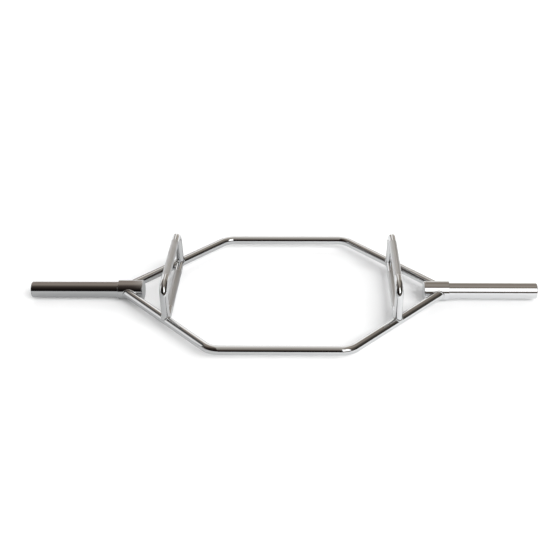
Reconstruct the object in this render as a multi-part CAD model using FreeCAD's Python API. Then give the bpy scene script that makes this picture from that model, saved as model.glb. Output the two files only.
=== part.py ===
import FreeCAD, Part
import math
import os

# Hex trap bar: a hexagon of bent round bar welded to two hubs that hold fixed loading sleeves.
# Lengths are in millimetres and angles in degrees.
# X runs along the sleeves, Y from front to rear and Z up, with the floor at Z = 0 under the bar's middle.

# Loading sleeves and their end plugs
SLEEVE_OD = 50.0
SLEEVE_WALL = 5.0
SLEEVE_LENGTH = 274.0
SLEEVE_END_CHAMFER = 2.0
SLEEVE_SPIGOT_STEP = 0.5
PLUG_THICKNESS = 8.0
PLUG_RECESS = 1.5
PLUG_CHAMFER = 1.0
PLUG_FIT = 0.0

# Hubs: a length of tube over each sleeve's spigot, closed by a disc at its inner end
# The mouth stands a little outside the point where the middle lines of the two frame bars meet
HUB_MOUTH_PAST_MEETING = 8.0
HUB_WALL = 5.5
HUB_LENGTH = 74.0
HUB_END_CHAMFER = 0.8
HUB_BORE_FIT = 0.0
HUB_DISC_THICKNESS = 4.0
HUB_DISC_CHAMFER = 1.2

# Hexagon: two bent bars, each with one straight and two diagonals
FRAME_BAR_OD = 28.0
FRAME_STRAIGHT = 400.0
FRAME_DEPTH = 620.0
FRAME_BEND_ANGLE = 45.0
FRAME_BEND_RADIUS = 60.0

# Grips: a straight low one and a raised bent one on each side, in one upright plane
GRIP_BAR_OD = 25.0
GRIP_SPACING = 692.0
RAISED_GRIP_RISE = 113.0
RAISED_LEG_LEAN = 5.0
RAISED_BEND_RADIUS = 33.0

# Weld beads, as the leg of each bead along the two faces that it joins
HUB_WELD_LEG = 3.5
FOOT_WELD_LEG = 3.5
GRIP_WELD_LEG = 3.5
SLEEVE_WELD_LEG = 2.0

# Sizes that follow from those above
Vec = FreeCAD.Vector
X_AXIS = Vec(1, 0, 0)
Y_AXIS = Vec(0, 1, 0)
Z_AXIS = Vec(0, 0, 1)
sleeve_radius = SLEEVE_OD / 2
sleeve_bore_radius = sleeve_radius - SLEEVE_WALL
spigot_radius = sleeve_radius - SLEEVE_SPIGOT_STEP
hub_bore_radius = spigot_radius + HUB_BORE_FIT
hub_radius = hub_bore_radius + HUB_WALL
axis_z = hub_radius
frame_radius = FRAME_BAR_OD / 2
grip_radius = GRIP_BAR_OD / 2
grip_x = GRIP_SPACING / 2
corner_x = FRAME_STRAIGHT / 2
frame_half_depth = FRAME_DEPTH / 2
bend = math.radians(FRAME_BEND_ANGLE)
meet_x = corner_x + frame_half_depth / math.tan(bend)
hub_mouth_x = meet_x + HUB_MOUTH_PAST_MEETING
hub_tube_x = hub_mouth_x - HUB_LENGTH
hub_inner_x = hub_tube_x - HUB_DISC_THICKNESS
sleeve_end_x = hub_mouth_x + SLEEVE_LENGTH
leg_y = (meet_x - grip_x) * math.tan(bend)
raised_z = axis_z + RAISED_GRIP_RISE
raised_y = leg_y - RAISED_LEG_LEAN


def round_face(centre, direction, radius):
    """The round section of a bar that runs in the direction given."""
    return Part.Face(Part.Wire(Part.Circle(centre, direction, radius).toShape()))


def bent_bar(corners, bend_radius, bar_radius):
    """A round bar that runs through the corner points, with each inner corner bent to the radius."""
    runs = []
    start = corners[0]
    for before, corner, after in zip(corners, corners[1:], corners[2:]):
        back = (before - corner).normalize()
        ahead = (after - corner).normalize()
        opening = back.getAngle(ahead)
        first = corner + back * (bend_radius / math.tan(opening / 2))
        last = corner + ahead * (bend_radius / math.tan(opening / 2))
        pivot = corner + (back + ahead).normalize() * (bend_radius / math.sin(opening / 2))
        swing = ahead.cross(back)
        runs.append(round_face(start, -back, bar_radius).extrude(first - start))
        runs.append(round_face(first, -back, bar_radius).revolve(pivot, swing, 180 - math.degrees(opening)))
        start = last
    runs.append(round_face(start, ahead, bar_radius).extrude(corners[-1] - start))
    return runs[0].fuse(runs[1:])


def weld_bead(bar, host, leg):
    """A flat-faced bead of equal legs, laid all round the saddle line where a bar stands on a host."""
    joined = host.fuse(bar)
    saddle = [edge for edge in joined.Edges if isinstance(edge.Curve, Part.BSplineCurve)]
    return joined.makeChamfer(leg, saddle).cut(joined)


def turned(profile):
    """A piece turned about the sleeve axis from (x, radius) points."""
    points = [Vec(x, 0, axis_z + radius) for x, radius in profile]
    points.append(points[0])
    face = Part.Face(Part.makePolygon(points))
    return face.revolve(Vec(0, 0, axis_z), X_AXIS, 360)


def mirrored(shape):
    """The same piece on the left, across the bar's middle."""
    return shape.mirror(Vec(0, 0, 0), X_AXIS)


def flipped(shape):
    """The same piece at the front, across the sleeve axis."""
    return shape.mirror(Vec(0, 0, 0), Y_AXIS)


pieces = {}

# Hubs: tube with a bevelled mouth, closing disc and the weld that fills the bevel round the sleeve
hub_tube = turned([
    (hub_tube_x, hub_bore_radius),
    (hub_mouth_x - SLEEVE_WELD_LEG, hub_bore_radius),
    (hub_mouth_x, hub_bore_radius + SLEEVE_WELD_LEG),
    (hub_mouth_x, hub_radius - HUB_END_CHAMFER),
    (hub_mouth_x - HUB_END_CHAMFER, hub_radius),
    (hub_tube_x, hub_radius),
])
hub_disc = turned([
    (hub_inner_x, 0),
    (hub_tube_x, 0),
    (hub_tube_x, hub_radius),
    (hub_inner_x + HUB_DISC_CHAMFER, hub_radius),
    (hub_inner_x, hub_radius - HUB_DISC_CHAMFER),
])
sleeve_weld = turned([
    (hub_mouth_x - SLEEVE_WELD_LEG, hub_bore_radius),
    (hub_mouth_x, hub_bore_radius),
    (hub_mouth_x, hub_bore_radius + SLEEVE_WELD_LEG),
])
pieces["right_hub_tube"] = hub_tube
pieces["right_hub_end_disc"] = hub_disc
pieces["right_sleeve_weld"] = sleeve_weld

# Sleeves: tube with a spigot that fills the hub, a shoulder at its mouth and a plug set into the outer end
sleeve_tube = turned([
    (hub_tube_x, sleeve_bore_radius),
    (sleeve_end_x, sleeve_bore_radius),
    (sleeve_end_x, sleeve_radius - SLEEVE_END_CHAMFER),
    (sleeve_end_x - SLEEVE_END_CHAMFER, sleeve_radius),
    (hub_mouth_x, sleeve_radius),
    (hub_mouth_x, spigot_radius),
    (hub_tube_x, spigot_radius),
])
plug_radius = sleeve_bore_radius - PLUG_FIT
plug_face_x = sleeve_end_x - PLUG_RECESS
sleeve_plug = turned([
    (plug_face_x - PLUG_THICKNESS, 0),
    (plug_face_x, 0),
    (plug_face_x, plug_radius - PLUG_CHAMFER),
    (plug_face_x - PLUG_CHAMFER, plug_radius),
    (plug_face_x - PLUG_THICKNESS, plug_radius),
])
pieces["right_sleeve_tube"] = sleeve_tube
pieces["right_sleeve_end_plug"] = sleeve_plug

# Rear half of the hexagon, cut at both ends to the round of the hubs
rear_bar = bent_bar(
    [
        Vec(-meet_x, 0, axis_z),
        Vec(-corner_x, frame_half_depth, axis_z),
        Vec(corner_x, frame_half_depth, axis_z),
        Vec(meet_x, 0, axis_z),
    ],
    FRAME_BEND_RADIUS,
    frame_radius,
)
hub_core = Part.makeCylinder(hub_radius, sleeve_end_x, Vec(0, 0, axis_z), X_AXIS)
rear_bar = rear_bar.cut(hub_core).cut(mirrored(hub_core))
pieces["rear_frame_bar"] = rear_bar
front_bar = flipped(rear_bar)
pieces["front_frame_bar"] = front_bar

# Low grip, cut at both ends to the round of the diagonals
low_grip = Part.makeCylinder(grip_radius, 2 * leg_y, Vec(grip_x, -leg_y, axis_z), Y_AXIS)
low_grip = low_grip.cut(rear_bar).cut(front_bar)
pieces["right_low_grip"] = low_grip

# Raised grip on two legs that lean in a little, with feet cut to sit astride the diagonals and low grip
raised_handle = bent_bar(
    [
        Vec(grip_x, -leg_y, axis_z),
        Vec(grip_x, -raised_y, raised_z),
        Vec(grip_x, raised_y, raised_z),
        Vec(grip_x, leg_y, axis_z),
    ],
    RAISED_BEND_RADIUS,
    grip_radius,
)
raised_handle = raised_handle.cut(rear_bar).cut(front_bar).cut(low_grip)
pieces["right_raised_handle"] = raised_handle

# Welds of the rear right quarter: the low grip's bead stops at the leg, and the leg's at the low grip's
meet = Vec(meet_x, 0, axis_z)
foot = Vec(grip_x, leg_y, axis_z)
along_diagonal = Vec(corner_x, frame_half_depth, axis_z) - meet
diagonal = Part.makeCylinder(frame_radius, along_diagonal.Length, meet, along_diagonal)
grip_end = Part.makeCylinder(grip_radius, leg_y, foot, -Y_AXIS)
leg_end = Part.makeCylinder(grip_radius, RAISED_GRIP_RISE, foot, Vec(grip_x, raised_y, raised_z) - foot)
grip_bead = weld_bead(grip_end, diagonal, GRIP_WELD_LEG)
hub_weld = weld_bead(diagonal, hub_core, HUB_WELD_LEG)
grip_weld = grip_bead.cut(leg_end)
foot_weld = weld_bead(leg_end, diagonal, FOOT_WELD_LEG).cut(grip_end).cut(grip_bead)
for name, weld in (("hub", hub_weld), ("grip", grip_weld), ("foot", foot_weld)):
    pieces["right_rear_" + name + "_weld"] = weld
    pieces["right_front_" + name + "_weld"] = flipped(weld)

# The left side repeats the right
for name in [name for name in pieces if name.startswith("right_")]:
    pieces["left_" + name[len("right_"):]] = mirrored(pieces[name])

os.makedirs("parts", exist_ok=True)
for name, shape in sorted(pieces.items()):
    shape.Solids[0].exportStep(os.path.join("parts", name + ".step"))
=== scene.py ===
import math
import bpy
import numpy as np
from mathutils import Euler, Matrix, Vector


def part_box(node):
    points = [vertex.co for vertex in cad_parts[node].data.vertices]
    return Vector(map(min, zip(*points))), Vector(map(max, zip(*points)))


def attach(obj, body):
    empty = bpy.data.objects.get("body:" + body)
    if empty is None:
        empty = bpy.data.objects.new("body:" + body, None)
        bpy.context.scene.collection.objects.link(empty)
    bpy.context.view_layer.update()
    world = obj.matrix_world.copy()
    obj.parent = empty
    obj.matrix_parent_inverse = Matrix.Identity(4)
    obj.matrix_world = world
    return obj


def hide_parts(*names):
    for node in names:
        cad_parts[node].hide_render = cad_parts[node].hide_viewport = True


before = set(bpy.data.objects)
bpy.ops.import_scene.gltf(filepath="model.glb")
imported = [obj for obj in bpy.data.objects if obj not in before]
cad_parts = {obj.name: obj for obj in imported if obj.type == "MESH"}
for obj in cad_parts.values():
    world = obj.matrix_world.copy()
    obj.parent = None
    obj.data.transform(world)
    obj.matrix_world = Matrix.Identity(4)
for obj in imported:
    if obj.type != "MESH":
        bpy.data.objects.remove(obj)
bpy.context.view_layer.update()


# Front and rear frame bars: solid 28 mm round steel, one length each, bent cold twice and cut at both
# ends to the round of the hubs. They are welded, polished and then chromed together with the rest.
MM = 0.001
X_AXIS = np.array([1.0, 0.0, 0.0])
Y_AXIS = np.array([0.0, 1.0, 0.0])
Z_AXIS = np.array([0.0, 0.0, 1.0])
FRAME_STRAIGHT = 400 * MM
FRAME_BEND_ANGLE = math.radians(45)
FRAME_BEND_RADIUS = 60 * MM
FRAME_BAR_SIDES = 96
BEND_STEPS = 40
SADDLE_SHARES = (1.0, 0.7, 0.4, 0.1)
SHARP_EDGE = math.radians(35)
HAZE_CLOUD = 60 * MM
CLEAR_TO_CLOUDED = (0.35, 0.7)


def linear_colour(hex_colour):
    """The linear RGBA of an sRGB hex colour."""
    channels = [int(hex_colour[i:i + 2], 16) / 255 for i in (1, 3, 5)]
    linear = [c / 12.92 if c <= 0.04045 else ((c + 0.055) / 1.055) ** 2.4 for c in channels]
    return (*linear, 1.0)


def add_node(tree, kind, links=(), **settings):
    """Adds a node. A setting named like an input sets that socket, and links are (input, socket) pairs."""
    node = tree.nodes.new(kind)
    for name, value in settings.items():
        if hasattr(node, name):
            setattr(node, name, value)
        else:
            node.inputs[name.replace("_", " ")].default_value = value
    for name, socket in links:
        tree.links.new(socket, node.inputs[name])
    return node


def chrome_plate(name, colour, roughness, haze, wave, wave_height):
    """Chrome plate on steel: a mirror with a faint cloudy haze, on the low waves that polishing leaves."""
    material = bpy.data.materials.new(name)
    material.use_nodes = True
    tree = material.node_tree
    tree.nodes.clear()
    place = add_node(tree, "ShaderNodeTexCoord").outputs["Object"]
    clouds = add_node(tree, "ShaderNodeTexNoise", [("Vector", place)], Scale=1 / HAZE_CLOUD, Detail=3.0)
    clear, clouded = CLEAR_TO_CLOUDED
    haze_range = add_node(
        tree, "ShaderNodeMapRange", [("Value", clouds.outputs["Fac"])],
        From_Min=clear, From_Max=clouded, To_Min=roughness, To_Max=roughness + haze,
    )
    waves = add_node(tree, "ShaderNodeTexNoise", [("Vector", place)], Scale=1 / wave, Detail=2.0)
    bump = add_node(
        tree, "ShaderNodeBump", [("Height", waves.outputs["Fac"])], Strength=1.0, Distance=wave_height
    )
    shader = add_node(
        tree, "ShaderNodeBsdfPrincipled",
        [("Roughness", haze_range.outputs["Result"]), ("Normal", bump.outputs["Normal"])],
        Base_Color=linear_colour(colour), Metallic=1.0,
    )
    add_node(tree, "ShaderNodeOutputMaterial", [("Surface", shader.outputs["BSDF"])])
    return material


def bent_line(corners, bend_radius):
    """Points along the middle of a bar through the corner points, each inner one bent to the radius."""
    points = [corners[0]]
    for before, corner, after in zip(corners, corners[1:], corners[2:]):
        back = (before - corner) / np.linalg.norm(before - corner)
        ahead = (after - corner) / np.linalg.norm(after - corner)
        half_opening = math.acos(back @ ahead) / 2
        middle = (back + ahead) / np.linalg.norm(back + ahead)
        pivot = corner + middle * bend_radius / math.sin(half_opening)
        swing = math.pi / 2 - half_opening
        tangent = (ahead - back) / np.linalg.norm(ahead - back)
        for turn in np.linspace(-swing, swing, BEND_STEPS + 1):
            points.append(pivot + bend_radius * (math.sin(turn) * tangent - math.cos(turn) * middle))
    return np.array(points + [corners[-1]])


def rings_round(line, across, radius, sides):
    """Rings of points round a middle line that lies in one plane, square to the direction across."""
    along = np.vstack([line[1] - line[0], line[2:] - line[:-2], line[-1] - line[-2]])
    along /= np.linalg.norm(along, axis=1)[:, None]
    beside = np.cross(across, along)
    angles = np.linspace(0, 2 * math.pi, sides, endpoint=False)
    spread = np.cos(angles)[:, None] * beside[:, None, :] + np.sin(angles)[:, None] * across
    return line[:, None, :] + radius * spread, along


def slide_onto(points, direction, host):
    """Slides points from inside a round host along a bar's direction until they lie on the surface."""
    host_point, host_direction, host_radius = host
    run = direction - host_direction * (direction @ host_direction)
    offset = points - host_point
    offset = offset - np.outer(offset @ host_direction, host_direction)
    a = run @ run
    b = offset @ run
    c = np.sum(offset * offset, axis=1) - host_radius ** 2
    return points + np.outer((np.sqrt(b * b - a * c) - b) / a, direction)


def saddle_end(ring, middle, direction, host):
    """Rings that close a bar's end on the surface of the host that it is cut to, outermost first."""
    return [slide_onto(middle + share * (ring - middle), direction, host) for share in SADDLE_SHARES]


def coped_rings(line, across, radius, sides, hosts):
    """Rings of a bar whose two ends are cut to the round of their hosts."""
    rings, along = rings_round(line, across, radius, sides)
    start = saddle_end(rings[0], line[0], along[0], hosts[0])
    end = saddle_end(rings[-1], line[-1], -along[-1], hosts[1])
    return start[::-1] + list(rings[1:-1]) + end


def skin(name, rings, materials, joined=False):
    """A closed mesh through rings of points, whose last ring joins the first or whose ends are closed."""
    count, sides = len(rings), len(rings[0])
    points = np.concatenate(rings)
    faces = []
    for row in range(count if joined else count - 1):
        here, there = row * sides, (row + 1) % count * sides
        for side in range(sides):
            beyond = (side + 1) % sides
            faces.append((here + side, here + beyond, there + beyond, there + side))
    if not joined:
        faces.append(tuple(reversed(range(sides))))
        faces.append(tuple(range((count - 1) * sides, count * sides)))
    mesh = bpy.data.meshes.new(name)
    mesh.from_pydata(points.tolist(), [], faces)
    mesh.validate()
    mesh.update()
    for material in materials:
        mesh.materials.append(material)
    mesh.shade_smooth()
    mesh.set_sharp_from_angle(angle=SHARP_EDGE)
    piece = bpy.data.objects.new(name, mesh)
    bpy.context.scene.collection.objects.link(piece)
    return piece


def stand_for(piece, node):
    """The piece takes the place of a node of the frame: it joins the root body, and the node is hidden."""
    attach(piece, "root")
    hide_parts(node)


bar_low, bar_high = map(np.array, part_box("rear_frame_bar"))
hub_low, hub_high = map(np.array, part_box("right_hub_tube"))
axis_z = (bar_low[2] + bar_high[2]) / 2
bar_radius = (bar_high[2] - bar_low[2]) / 2
hub_radius = (hub_high[2] - hub_low[2]) / 2
straight_y = bar_high[1] - bar_radius
corner_x = FRAME_STRAIGHT / 2
meet_x = corner_x + straight_y / math.tan(FRAME_BEND_ANGLE)
hub_host = (axis_z * Z_AXIS, X_AXIS, hub_radius)

# Bright chrome over drawn bar that was ground and buffed. It gives a clear mirror, and the buffing wheel's
# low waves, about 7 mm apart, make the long reflections waver a little.
bar_chrome = chrome_plate(
    "bright_chrome_on_bar", "#D8D9DA", roughness=0.02, haze=0.03, wave=7.0 * MM, wave_height=0.004 * MM
)
for node, sign in (("rear_frame_bar", 1), ("front_frame_bar", -1)):
    half_bar = bent_line(
        [
            np.array([-meet_x * sign, 0.0, axis_z]),
            np.array([-corner_x * sign, straight_y * sign, axis_z]),
            np.array([corner_x * sign, straight_y * sign, axis_z]),
            np.array([meet_x * sign, 0.0, axis_z]),
        ],
        FRAME_BEND_RADIUS,
    )
    rings = coped_rings(half_bar, Z_AXIS, bar_radius, FRAME_BAR_SIDES, (hub_host, hub_host))
    stand_for(skin(node + "_chromed", rings, [bar_chrome]), node)


# Hubs: a length of 60 mm tube on each side that the frame bars are welded to, with its inner end closed
# by a welded disc. The edges are broken before plating, so each one carries a thin bright line.
SIDES = (("right", 1), ("left", -1))
TURNED_SIDES = 128
EDGE_STEPS = 6
HUB_EDGE = 0.8 * MM
HUB_SEAM_EDGE = 0.25 * MM
HUB_DISC_EDGE = 1.2 * MM
DISC_CENTRE = 1.0 * MM
SLEEVE_WELD_LEG = 2.0 * MM


def eased(profile, radii):
    """A closed (x, radius) profile with rounded corners, and points beside each that hold the flats."""
    corners = [np.array(corner) for corner in profile]
    points = []
    for i, (corner, radius) in enumerate(zip(corners, radii)):
        back = corners[i - 1] - corner
        ahead = corners[(i + 1) % len(corners)] - corner
        if radius == 0:
            points.append(corner)
            continue
        back = back / np.linalg.norm(back)
        ahead = ahead / np.linalg.norm(ahead)
        half_opening = math.acos(back @ ahead) / 2
        middle = (back + ahead) / np.linalg.norm(back + ahead)
        tangent = (ahead - back) / np.linalg.norm(ahead - back)
        pivot = corner + middle * radius / math.sin(half_opening)
        swing = math.pi / 2 - half_opening
        hold = radius / math.tan(half_opening) + radius / 2
        points.append(corner + hold * back)
        for turn in np.linspace(-swing, swing, EDGE_STEPS + 1):
            points.append(pivot + radius * (math.sin(turn) * tangent - math.cos(turn) * middle))
        points.append(corner + hold * ahead)
    return points


def turned_rings(profile, sign):
    """Rings of a piece turned about the sleeve axis, on the right or on the left."""
    angles = np.linspace(0, 2 * math.pi, TURNED_SIDES, endpoint=False) * sign
    circle = np.cos(angles)[:, None] * Y_AXIS + np.sin(angles)[:, None] * Z_AXIS
    return [axis_z * Z_AXIS + x * sign * X_AXIS + radius * circle for x, radius in profile]


disc_low, disc_high = map(np.array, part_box("right_hub_end_disc"))
weld_low, weld_high = map(np.array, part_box("right_sleeve_weld"))
hub_bore_radius = (weld_high[2] - weld_low[2]) / 2 - SLEEVE_WELD_LEG
hub_mouth_x = hub_high[0]
hub_profile = eased(
    [
        (hub_low[0], hub_bore_radius),
        (hub_low[0], hub_radius),
        (hub_mouth_x, hub_radius),
        (hub_mouth_x, hub_bore_radius + SLEEVE_WELD_LEG),
        (hub_mouth_x - SLEEVE_WELD_LEG, hub_bore_radius),
    ],
    [0, HUB_SEAM_EDGE, HUB_EDGE, 0, 0],
)
disc_profile = eased(
    [
        (disc_low[0], DISC_CENTRE),
        (disc_low[0], hub_radius),
        (disc_high[0], hub_radius),
        (disc_high[0], DISC_CENTRE),
    ],
    [0, HUB_DISC_EDGE, HUB_SEAM_EDGE, 0],
)

# Bright chrome over tube that was turned and then buffed on the lathe. It gives the same clear mirror, and
# the waves lie a little wider apart on the larger round.
tube_chrome = chrome_plate(
    "bright_chrome_on_tube", "#D8D9DA", roughness=0.02, haze=0.03, wave=9.0 * MM, wave_height=0.004 * MM
)
for side, sign in SIDES:
    hub = skin(side + "_hub_tube_chromed", turned_rings(hub_profile, sign), [tube_chrome], joined=True)
    stand_for(hub, side + "_hub_tube")
    disc = skin(side + "_hub_end_disc_chromed", turned_rings(disc_profile, sign), [tube_chrome])
    stand_for(disc, side + "_hub_end_disc")


# Sleeves: 50 mm tube that carries the weight plates, pushed into the hub and welded round its mouth.
# A steel plug closes the outer end, set a little below a broken edge.
SLEEVE_WALL = 5.0 * MM
SLEEVE_SPIGOT_STEP = 0.5 * MM
SLEEVE_EDGE = 2.0 * MM
SLEEVE_BORE_EDGE = 0.5 * MM
PLUG_EDGE = 1.0 * MM
SLEEVE_WELD_CROWN = 0.5 * MM
sleeve_low, sleeve_high = map(np.array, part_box("right_sleeve_tube"))
plug_low, plug_high = map(np.array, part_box("right_sleeve_end_plug"))
sleeve_radius = (sleeve_high[2] - sleeve_low[2]) / 2
sleeve_bore_radius = sleeve_radius - SLEEVE_WALL
spigot_radius = sleeve_radius - SLEEVE_SPIGOT_STEP
sleeve_profile = eased(
    [
        (sleeve_low[0], sleeve_bore_radius),
        (sleeve_low[0], spigot_radius),
        (hub_mouth_x, spigot_radius),
        (hub_mouth_x, sleeve_radius),
        (sleeve_high[0], sleeve_radius),
        (sleeve_high[0], sleeve_bore_radius),
    ],
    [0, 0, 0, 0, SLEEVE_EDGE, SLEEVE_BORE_EDGE],
)
plug_profile = eased(
    [
        (plug_low[0], DISC_CENTRE),
        (plug_low[0], sleeve_bore_radius),
        (plug_high[0], sleeve_bore_radius),
        (plug_high[0], DISC_CENTRE),
    ],
    [0, 0, PLUG_EDGE, 0],
)
weld_profile = [
    (hub_mouth_x - SLEEVE_WELD_LEG, hub_bore_radius),
    (hub_mouth_x, hub_bore_radius + SLEEVE_WELD_LEG),
    (hub_mouth_x + SLEEVE_WELD_CROWN, hub_bore_radius + SLEEVE_WELD_LEG / 2),
    (hub_mouth_x, hub_bore_radius),
]

# Chrome over weld metal, which is buffed by hand and keeps a grain of pits and ridges under 2 mm wide.
# It breaks the mirror into short soft glints.
weld_chrome = chrome_plate(
    "bright_chrome_on_weld", "#D2D3D4", roughness=0.05, haze=0.06, wave=1.6 * MM, wave_height=0.01 * MM
)
for side, sign in SIDES:
    rings = turned_rings(sleeve_profile, sign)
    sleeve = skin(side + "_sleeve_tube_chromed", rings, [tube_chrome], joined=True)
    stand_for(sleeve, side + "_sleeve_tube")
    plug = skin(side + "_sleeve_end_plug_chromed", turned_rings(plug_profile, sign), [tube_chrome])
    stand_for(plug, side + "_sleeve_end_plug")
    rings = turned_rings(weld_profile, sign)
    weld = skin(side + "_sleeve_weld_chromed", rings, [weld_chrome], joined=True)
    stand_for(weld, side + "_sleeve_weld")


# Low and raised grips: 25 mm steel bar, rolled with a diamond knurl where the hands go and left smooth
# at the ends. The low one lies level with the frame and the raised one stands on two bent legs.
# The knurl's teeth are 2 mm apart, a little coarser than on most bars, so that they show.
KNURL_TEETH_ROUND = 39
KNURL_LEAN = math.radians(30)
KNURL_DEPTH = 0.2 * MM
KNURL_LENGTH = 200 * MM
RAISED_LEG_LEAN = 5 * MM
RAISED_BEND_RADIUS = 33 * MM
GRIP_SIDES = 2 * KNURL_TEETH_ROUND


def diagonal(sign_x, sign_y):
    """The round of the frame bar's diagonal on one side, as a point, a direction and a radius."""
    along = np.array([-math.cos(FRAME_BEND_ANGLE) * sign_x, math.sin(FRAME_BEND_ANGLE) * sign_y, 0.0])
    return np.array([meet_x * sign_x, 0.0, axis_z]), along, bar_radius


def split_knurl(piece, first, last):
    """Splits the knurl's cells along their grooves, and gives them flat faces and their own finish."""
    mesh = piece.data
    places = np.array([v.co for v in mesh.vertices])
    smooth, cells = [], []
    for face in mesh.polygons:
        rows = [v // GRIP_SIDES for v in face.vertices]
        knurled = len(face.vertices) == 4 and min(rows) >= first - 1 and max(rows) <= last
        (cells if knurled else smooth).append(tuple(face.vertices))
    faces = list(smooth)
    for a, b, c, d in cells:
        if (a // GRIP_SIDES + a % GRIP_SIDES) % 2:
            faces += [(a, b, c), (a, c, d)]
        else:
            faces += [(a, b, d), (b, c, d)]
    fresh = bpy.data.meshes.new(mesh.name)
    fresh.from_pydata(places.tolist(), [], faces)
    for material in mesh.materials:
        fresh.materials.append(material)
    fresh.shade_smooth()
    fresh.set_sharp_from_angle(angle=SHARP_EDGE)
    for face in fresh.polygons[len(smooth):]:
        face.use_smooth = False
        face.material_index = 1
    piece.data = fresh
    bpy.data.meshes.remove(mesh)


def knurled_bar(name, line, hosts):
    """A coped grip bar with a diamond knurl pressed into its straight middle."""
    rings = coped_rings(line, X_AXIS, grip_radius, GRIP_SIDES, hosts)
    from_middle = [abs(ring[:, 1].mean()) for ring in rings]
    square = [np.ptp(ring[:, 1]) < KNURL_DEPTH for ring in rings]
    inside = [i for i in range(len(rings)) if square[i] and from_middle[i] < KNURL_LENGTH / 2]
    first, last = inside[0], inside[-1] + 1
    middle = np.mean([rings[first].mean(0), rings[last - 1].mean(0)], axis=0)
    for row in range(first, last):
        for side in range(GRIP_SIDES):
            if (row + side) % 2:
                out = rings[row][side] - middle
                out[1] = 0.0
                rings[row][side] -= KNURL_DEPTH * out / np.linalg.norm(out)
    piece = skin(name, rings, [bar_chrome, knurl_chrome])
    split_knurl(piece, first, last)
    return piece


grip_low, grip_high = map(np.array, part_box("right_low_grip"))
grip_radius = (grip_high[2] - grip_low[2]) / 2
grip_x = (grip_low[0] + grip_high[0]) / 2
foot_y = (meet_x - grip_x) * math.tan(FRAME_BEND_ANGLE)
raised_y = foot_y - RAISED_LEG_LEAN
raised_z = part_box("right_raised_handle")[1][2] - grip_radius
half_row = math.pi * grip_radius / KNURL_TEETH_ROUND / math.tan(KNURL_LEAN)
knurl_rows = 2 * round(KNURL_LENGTH / 2 / half_row)
knurl_y = half_row * np.arange(-knurl_rows / 2 - 1, knurl_rows / 2 + 2)

# Satin chrome: the teeth are plated as the knurling wheel leaves them, without buffing. They scatter the
# reflections, so the gripping length is a soft grey band between the bright ends.
knurl_chrome = chrome_plate(
    "chrome_on_knurl", "#D1D2D3", roughness=0.30, haze=0.06, wave=5.0 * MM, wave_height=0.004 * MM
)
for side, sign in SIDES:
    hosts = (diagonal(sign, -1), diagonal(sign, 1))
    low_line = np.array([[grip_x * sign, y, axis_z] for y in (-foot_y, *knurl_y, foot_y)])
    grip = knurled_bar(side + "_low_grip_chromed", low_line, hosts)
    stand_for(grip, side + "_low_grip")
    raised_line = bent_line(
        [
            np.array([grip_x * sign, -foot_y, axis_z]),
            np.array([grip_x * sign, -raised_y, raised_z]),
            np.array([grip_x * sign, raised_y, raised_z]),
            np.array([grip_x * sign, foot_y, axis_z]),
        ],
        RAISED_BEND_RADIUS,
    )
    hand_line = np.array([[grip_x * sign, y, raised_z] for y in knurl_y])
    half = len(raised_line) // 2
    raised_line = np.concatenate([raised_line[:half], hand_line, raised_line[half:]])
    grip = knurled_bar(side + "_raised_handle_chromed", raised_line, hosts)
    stand_for(grip, side + "_raised_handle")


# Weld beads: each joint is run round once by hand, so the bead follows the saddle line where the round
# bars meet and shows the ripples of the pool. Polishing and chrome soften the ripples.
# The saddle line is about as long as 2.3 times half the bar's girth.
HUB_BEAD_LEG = 3.5 * MM
GRIP_BEAD_LEG = 3.5 * MM
BEAD_RUN = 2.3
BEAD_RIPPLE = 2.6 * MM
BEAD_RIPPLE_HEIGHT = 0.22 * MM
# The crown is a share of the leg, and the crescent is how far a ripple leads in its middle, in radians
BEAD_CROWN = 0.22
BEAD_CRESCENT = 1.9
STATIONS_A_RIPPLE = 8
BEAD_ARC_STEPS = 8


def weld_bead(name, foot, direction, radius, host, leg):
    """A rippled bead along the saddle line where a round bar that leaves foot stands on its host."""
    host_point, host_direction, host_radius = host
    beside = np.cross(host_direction, direction)
    beside /= np.linalg.norm(beside)
    above = np.cross(direction, beside)
    ripples = round(BEAD_RUN * math.pi * radius / BEAD_RIPPLE)
    angles = np.linspace(0, 2 * math.pi, ripples * STATIONS_A_RIPPLE, endpoint=False)
    off_bar = np.cos(angles)[:, None] * beside + np.sin(angles)[:, None] * above
    root = slide_onto(foot + radius * off_bar, direction, host)
    off_host = root - host_point
    off_host = off_host - np.outer(off_host @ host_direction, host_direction)
    off_host /= np.linalg.norm(off_host, axis=1)[:, None]
    along = np.roll(root, -1, axis=0) - np.roll(root, 1, axis=0)
    along /= np.linalg.norm(along, axis=1)[:, None]
    away = np.cross(along, off_host)
    away *= np.sign(np.sum(away * off_bar, axis=1))[:, None]
    bar_toe = root + leg * direction
    host_toe = root + leg * away
    lift = host_toe - host_point
    lift = lift - np.outer(lift @ host_direction, host_direction)
    host_toe -= lift * (1 - host_radius / np.linalg.norm(lift, axis=1))[:, None]
    outward = off_bar + off_host
    outward /= np.linalg.norm(outward, axis=1)[:, None]
    profile = [root]
    for share in np.linspace(0, 1, BEAD_ARC_STEPS + 1):
        crown = 4 * share * (1 - share)
        phase = ripples * angles + BEAD_CRESCENT * crown
        ripple = BEAD_RIPPLE_HEIGHT * (0.5 + 0.5 * np.cos(phase))
        swell = crown * (BEAD_CROWN * leg + ripple)
        profile.append((1 - share) * bar_toe + share * host_toe + swell[:, None] * outward)
    rings = list(np.stack(profile, axis=1))
    return skin(name, rings, [weld_chrome], joined=True)


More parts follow.
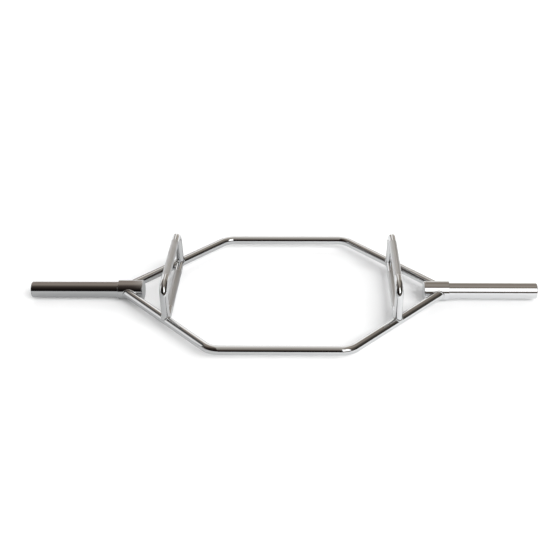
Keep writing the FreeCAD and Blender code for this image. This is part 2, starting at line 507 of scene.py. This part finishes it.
for side, sign in SIDES:
    for end, sign_y in (("rear", 1), ("front", -1)):
        frame_bar = diagonal(sign, sign_y)
        meeting, up_diagonal, _ = frame_bar
        foot = np.array([grip_x * sign, foot_y * sign_y, axis_z])
        up_leg = np.array([0.0, -RAISED_LEG_LEAN * sign_y, raised_z - axis_z])
        up_leg /= np.linalg.norm(up_leg)
        joints = (
            ("hub", meeting, up_diagonal, bar_radius, hub_host, HUB_BEAD_LEG),
            ("grip", foot, -sign_y * Y_AXIS, grip_radius, frame_bar, GRIP_BEAD_LEG),
            ("foot", foot, up_leg, grip_radius, frame_bar, GRIP_BEAD_LEG),
        )
        for joint, start, direction, radius, host, leg in joints:
            weld = side + "_" + end + "_" + joint + "_weld"
            bead = weld_bead(weld + "_chromed", start, direction, radius, host, leg)
            stand_for(bead, weld)


# Floor: a white paper sweep, rolled out flat, that the bar lies on. The chrome shows it with painted shade,
# darker at the left, and a little light of its own lifts its shadows where the camera or the chrome looks
# at it.
FLOOR_HALF = 15.0
FLOOR_COLOUR = "#F4F4F4"
# The grey of the floor's painted shade, seen only in the chrome
FLOOR_PAINTED_SHADE_IN_CHROME = "#ADADAD"
# In the chrome the floor's painted shade grows along X towards the left and fades out at the back along Y,
# both in metres
FLOOR_FALL = (0.5, -0.6)
FLOOR_BACK = (0.75, 0.35)
FLOOR_LIFT = 0.045


def looked_at(tree):
    """One where a surface is seen, straight or in the chrome, and zero where it only gives light."""
    path = add_node(tree, "ShaderNodeLightPath").outputs
    seen = add_node(
        tree, "ShaderNodeMath", [(0, path["Is Camera Ray"]), (1, path["Is Glossy Ray"])],
        operation="MAXIMUM",
    )
    seen = add_node(
        tree, "ShaderNodeMath", [(0, seen.outputs[0]), (1, path["Is Transmission Ray"])],
        operation="MAXIMUM",
    )
    return seen.outputs[0]


floor_mesh = bpy.data.meshes.new("paper_floor")
floor_corners = [(x * FLOOR_HALF, y * FLOOR_HALF, 0) for x, y in ((-1, -1), (1, -1), (1, 1), (-1, 1))]
floor_mesh.from_pydata(floor_corners, [], [(0, 1, 2, 3)])
floor = bpy.data.objects.new("paper_floor", floor_mesh)
bpy.context.scene.collection.objects.link(floor)

# Uncoated white paper, pressed flat: its fibres scatter the light, so it has soft shadows and no gloss.
paper = bpy.data.materials.new("white_paper")
paper.use_nodes = True
tree = paper.node_tree
tree.nodes.clear()
place = add_node(tree, "ShaderNodeNewGeometry").outputs["Position"]
parts = add_node(tree, "ShaderNodeSeparateXYZ", [("Vector", place)]).outputs
fall = add_node(
    tree, "ShaderNodeMapRange", [("Value", parts["X"])], From_Min=FLOOR_FALL[0], From_Max=FLOOR_FALL[1]
)
before_back = add_node(
    tree, "ShaderNodeMapRange", [("Value", parts["Y"])], From_Min=FLOOR_BACK[0], From_Max=FLOOR_BACK[1]
)
painted_shade = add_node(
    tree, "ShaderNodeMath", [(0, fall.outputs["Result"]), (1, before_back.outputs["Result"])],
    operation="MULTIPLY",
)
# Painted shade: where the chrome mirrors the floor, the floor is mixed towards a grey at the left and front
in_chrome = add_node(tree, "ShaderNodeLightPath").outputs["Is Glossy Ray"]
painted_shade = add_node(
    tree, "ShaderNodeMath", [(0, painted_shade.outputs[0]), (1, in_chrome)], operation="MULTIPLY"
)
tone = add_node(
    tree, "ShaderNodeMixRGB", [("Fac", painted_shade.outputs[0])],
    Color1=linear_colour(FLOOR_COLOUR), Color2=linear_colour(FLOOR_PAINTED_SHADE_IN_CHROME),
)
matt = add_node(tree, "ShaderNodeBsdfDiffuse", [("Color", tone.outputs["Color"])])
lift = add_node(tree, "ShaderNodeMapRange", [("Value", looked_at(tree))], To_Max=FLOOR_LIFT)
glow = add_node(tree, "ShaderNodeEmission", [("Strength", lift.outputs["Result"])])
both = add_node(tree, "ShaderNodeAddShader", [(0, matt.outputs["BSDF"]), (1, glow.outputs["Emission"])])
add_node(tree, "ShaderNodeOutputMaterial", [("Surface", both.outputs["Shader"])])
floor_mesh.materials.append(paper)


# Studio walls and ceiling: a round room that only the chrome shows, its tones painted light in a glow. A
# pale strip runs from the white wall behind the bar over the ceiling to the dark front, and the walls on
# both sides of it are warm and darker.
# Each list of tones runs in degrees from the floor behind (0) over the ceiling (90) to the floor in front.
ROOM_RADIUS = 40.0
ROOM_STEPS = 64
ROOM_SINK = math.radians(3)
ROOM_LEVEL = 1.45
STRIP = (
    (0, "#F5F4F2"), (30, "#E4E2DF"), (45, "#CECBC6"), (60, "#C2BFBA"), (80, "#A39F99"), (110, "#8E8882"),
    (130, "#5A534E"), (150, "#201B19"), (180, "#14100F"),
)
LEFT_SIDE = (
    (0, "#7E746C"), (75, "#827971"), (90, "#5F5751"), (105, "#3C3531"), (125, "#28221F"), (150, "#0E0B0A"),
    (180, "#0E0B0A"),
)
RIGHT_SIDE = (
    (0, "#B0AAA2"), (18, "#AEA8A0"), (30, "#857D75"), (50, "#786F67"), (75, "#918A81"), (105, "#756D66"),
    (180, "#554F4A"),
)
# Edges go by how far sideways a direction points, from -1 at the left to 1 at the right
STRIP_LEFT_EDGE = (-0.22, -0.17)
STRIP_RIGHT_EDGE = (0.13, 0.09)
LEFT_TO_RIGHT = (STRIP_LEFT_EDGE[1], STRIP_RIGHT_EDGE[1])
RIGHT_DIM = (0.40, 0.80)
RIGHT_DIM_TO = 0.20


def only_in_chrome(thing):
    """Keeps a stage piece out of the camera's view, of the light and of the shadows."""
    thing.visible_camera = False
    thing.visible_diffuse = False
    thing.visible_shadow = False


room_rings = []
for tilt in np.linspace(-ROOM_SINK, math.pi / 2 - ROOM_SINK, ROOM_STEPS // 4):
    around = np.linspace(0, 2 * math.pi, ROOM_STEPS, endpoint=False)
    level = np.full_like(around, math.sin(tilt))
    ring = np.stack([math.cos(tilt) * np.cos(around), math.cos(tilt) * np.sin(around), level], axis=1)
    room_rings.append(ROOM_RADIUS * ring)

# Matt wall paint, rolled on and lit unevenly, drawn as a glow: its tones are painted light, smooth tones
# that run into each other, as long soft streaks in the chrome.
walls = bpy.data.materials.new("studio_walls")
walls.use_nodes = True
tree = walls.node_tree
tree.nodes.clear()
place = add_node(tree, "ShaderNodeNewGeometry").outputs["Position"]
direction = add_node(tree, "ShaderNodeVectorMath", [(0, place)], operation="NORMALIZE")
parts = add_node(tree, "ShaderNodeSeparateXYZ", [("Vector", direction.outputs["Vector"])]).outputs
height = add_node(tree, "ShaderNodeMath", [(0, parts["Z"])], operation="ABSOLUTE")
turn = add_node(tree, "ShaderNodeMath", [(0, height.outputs[0]), (1, parts["Y"])], operation="ARCTAN2")
turn = add_node(tree, "ShaderNodeMapRange", [("Value", turn.outputs[0])], From_Max=math.pi)
tones = []
for stops in (STRIP, LEFT_SIDE, RIGHT_SIDE):
    ramp = add_node(tree, "ShaderNodeValToRGB", [("Fac", turn.outputs["Result"])])
    elements = ramp.color_ramp.elements
    for degrees, hex_colour in stops[1:-1]:
        elements.new(degrees / 180).color = linear_colour(hex_colour)
    elements[0].color = linear_colour(stops[0][1])
    elements[-1].color = linear_colour(stops[-1][1])
    tones.append(ramp.outputs["Color"])
strip_tone, left_tone, right_tone = tones
edges = []
for start, end in (STRIP_LEFT_EDGE, STRIP_RIGHT_EDGE, LEFT_TO_RIGHT):
    edge = add_node(
        tree, "ShaderNodeMapRange", [("Value", parts["X"])],
        interpolation_type="SMOOTHSTEP", From_Min=start, From_Max=end,
    )
    edges.append(edge.outputs["Result"])
past_left_edge, before_right_edge, at_right = edges
in_strip = add_node(
    tree, "ShaderNodeMath", [(0, past_left_edge), (1, before_right_edge)], operation="MULTIPLY"
)
sides = add_node(
    tree, "ShaderNodeMixRGB", [("Fac", at_right), ("Color1", left_tone), ("Color2", right_tone)]
)
colour = add_node(
    tree, "ShaderNodeMixRGB",
    [("Fac", in_strip.outputs[0]), ("Color1", sides.outputs["Color"]), ("Color2", strip_tone)],
)
# Painted shade: the walls' glow dims towards the right
dim = add_node(
    tree, "ShaderNodeMapRange", [("Value", parts["X"])],
    From_Min=RIGHT_DIM[0], From_Max=RIGHT_DIM[1], To_Min=ROOM_LEVEL, To_Max=ROOM_LEVEL * RIGHT_DIM_TO,
)
glow = add_node(
    tree, "ShaderNodeEmission", [("Color", colour.outputs["Color"]), ("Strength", dim.outputs["Result"])]
)
add_node(tree, "ShaderNodeOutputMaterial", [("Surface", glow.outputs["Emission"])])
only_in_chrome(skin("studio_room", room_rings, [walls]))


# Studio panels: a soft box at the front right, lit boards round the left side, and a dark flag above them.
# They stand before the walls, and only the chrome shows them.
# Each has its two bearings from the rear and its two rises from the floor, in degrees, and its brightness.
PANEL_RADIUS = 0.98 * ROOM_RADIUS
PANEL_STEPS = 12
PANELS = (
    ("front_soft_box", (136, 173), (23, 63), 2.0),
    ("left_wall", (-95, -72), (-2, 31), 0.96),
    ("left_corner", (-112, -95), (-2, 16), 0.38),
    ("front_left_edge", (-172, -112), (-2, 8), 0.55),
    ("left_flag", (-98, -46), (34, 51), 0.10),
    ("rear_left_wall", (-62, -25), (-2, 26), 1.1),
)


def lit_cloth(name, brightness):
    """Stretched white cloth, lit from behind or left dark: one even tone from edge to edge."""
    material = bpy.data.materials.new(name)
    material.use_nodes = True
    tree = material.node_tree
    tree.nodes.clear()
    glow = add_node(tree, "ShaderNodeEmission", Strength=brightness)
    add_node(tree, "ShaderNodeOutputMaterial", [("Surface", glow.outputs["Emission"])])
    return material


for name, bearings, rises, brightness in PANELS:
    around = np.radians(np.linspace(*bearings, PANEL_STEPS))
    points = []
    for rise in np.radians(np.linspace(*rises, PANEL_STEPS)):
        level = np.full_like(around, math.sin(rise))
        row = np.stack([math.cos(rise) * np.sin(around), math.cos(rise) * np.cos(around), level], axis=1)
        points.extend((PANEL_RADIUS * row).tolist())
    faces = []
    for row in range(PANEL_STEPS - 1):
        for corner in range(row * PANEL_STEPS, (row + 1) * PANEL_STEPS - 1):
            faces.append((corner, corner + 1, corner + PANEL_STEPS + 1, corner + PANEL_STEPS))
    mesh = bpy.data.meshes.new(name)
    mesh.from_pydata(points, [], faces)
    mesh.materials.append(lit_cloth(name, brightness))
    panel = bpy.data.objects.new(name, mesh)
    bpy.context.scene.collection.objects.link(panel)
    only_in_chrome(panel)


# Studio light: a large soft lamp at the front right, a weaker one behind and an even light all round.
# They light the floor and give the bar its soft shadows, and the chrome doesn't show the lamps themselves.
AMBIENT = 0.57
LAMP_SPREAD = math.radians(50)
SOFT_LIGHTS = (
    ("key_soft_light", 2.84, Vector((0.60, -0.54, 0.59))),
    ("back_soft_light", 1.23, Vector((0.08, 0.90, 0.42))),
)
world = bpy.data.worlds.new("studio_light")
bpy.context.scene.world = world
world.use_nodes = True
tree = world.node_tree
tree.nodes.clear()
level = add_node(tree, "ShaderNodeMapRange", [("Value", looked_at(tree))], To_Min=AMBIENT, To_Max=1.0)
sky = add_node(
    tree, "ShaderNodeBackground", [("Strength", level.outputs["Result"])], Color=linear_colour("#FFFFFF")
)
add_node(tree, "ShaderNodeOutputWorld", [("Surface", sky.outputs["Background"])])
for name, strength, come_from in SOFT_LIGHTS:
    lamp = bpy.data.lights.new(name, "SUN")
    lamp.energy = strength
    lamp.angle = LAMP_SPREAD
    soft_light = bpy.data.objects.new(name, lamp)
    soft_light.rotation_euler = come_from.to_track_quat("Z", "Y").to_euler()
    soft_light.visible_glossy = False
    bpy.context.scene.collection.objects.link(soft_light)


# Camera: 2.3 m in front of the bar and 1.5 m above it, with a lens of about 55 mm, as the photograph was
# taken. The small sideways shift puts the bar where it lies in the photograph's frame.
CAMERA_PLACE = Vector((0.0907, -2.2612, 1.5092 + axis_z))
CAMERA_DOWN = math.radians(33.04)
CAMERA_TURN = math.radians(1.124)
CAMERA_ROLL = math.radians(-0.446)
IMAGE_WIDTH = 560
FOCAL_PIXELS = 863.9
PRINCIPAL_X = 297.4
camera = bpy.data.cameras.new("camera")
camera.sensor_width = 36.0
camera.lens = camera.sensor_width * FOCAL_PIXELS / IMAGE_WIDTH
camera.shift_x = (IMAGE_WIDTH / 2 - 0.5 - PRINCIPAL_X) / IMAGE_WIDTH
camera_object = bpy.data.objects.new("camera", camera)
upright = Euler((math.pi / 2 - CAMERA_DOWN, 0, CAMERA_TURN)).to_matrix()
aim = upright @ Matrix.Rotation(CAMERA_ROLL, 3, "Z")
camera_object.matrix_world = Matrix.Translation(CAMERA_PLACE) @ aim.to_4x4()
bpy.context.scene.collection.objects.link(camera_object)
bpy.context.scene.camera = camera_object
bpy.context.scene.view_settings.view_transform = "Standard"
